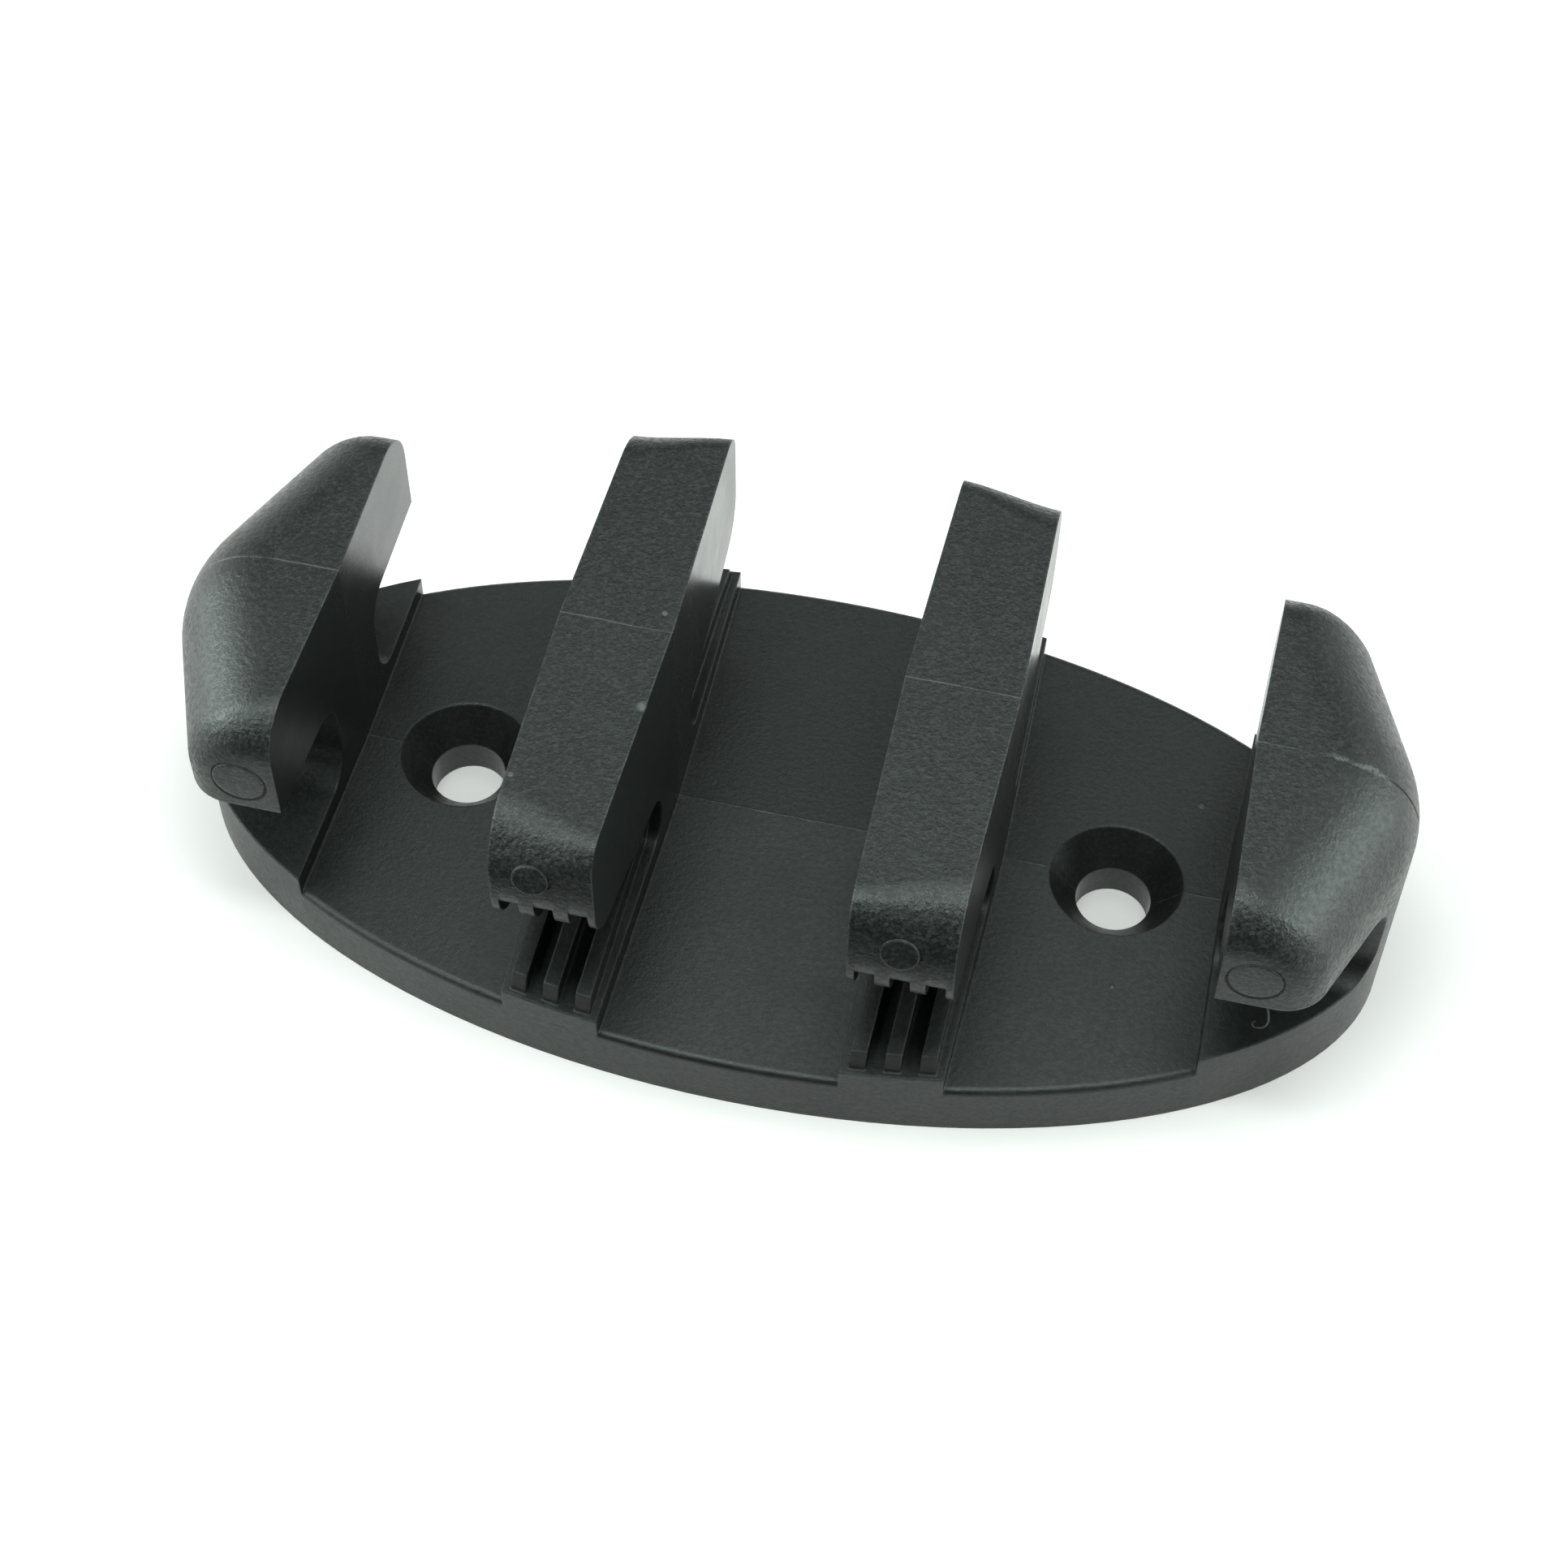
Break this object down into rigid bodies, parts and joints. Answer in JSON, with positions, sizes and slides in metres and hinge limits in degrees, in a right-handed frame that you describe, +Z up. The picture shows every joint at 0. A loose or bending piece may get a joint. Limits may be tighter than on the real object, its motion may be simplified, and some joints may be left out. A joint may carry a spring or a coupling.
{
  "type": "zig zag cleat",
  "caption": "Moulded deck cleat with an oval base, countersunk screw holes and upright horns with toothed arms that grip a line laid zig zag between them.",
  "frame": {"origin": "centre of the underside of the base plate", "axes": "+X along the row of horns, which is the long way of the oval base; +Y across the base, along the arms of the horns; +Z up from the deck"},
  "size_m": [0.09, 0.044, 0.0244],
  "materials": {
    "moulding": "fine spark-eroded mould texture, black glass-filled nylon"
  },
  "bodies": {
    "root": {"zigzag_cleat": "moulding"}
  },
  "joints": []
}
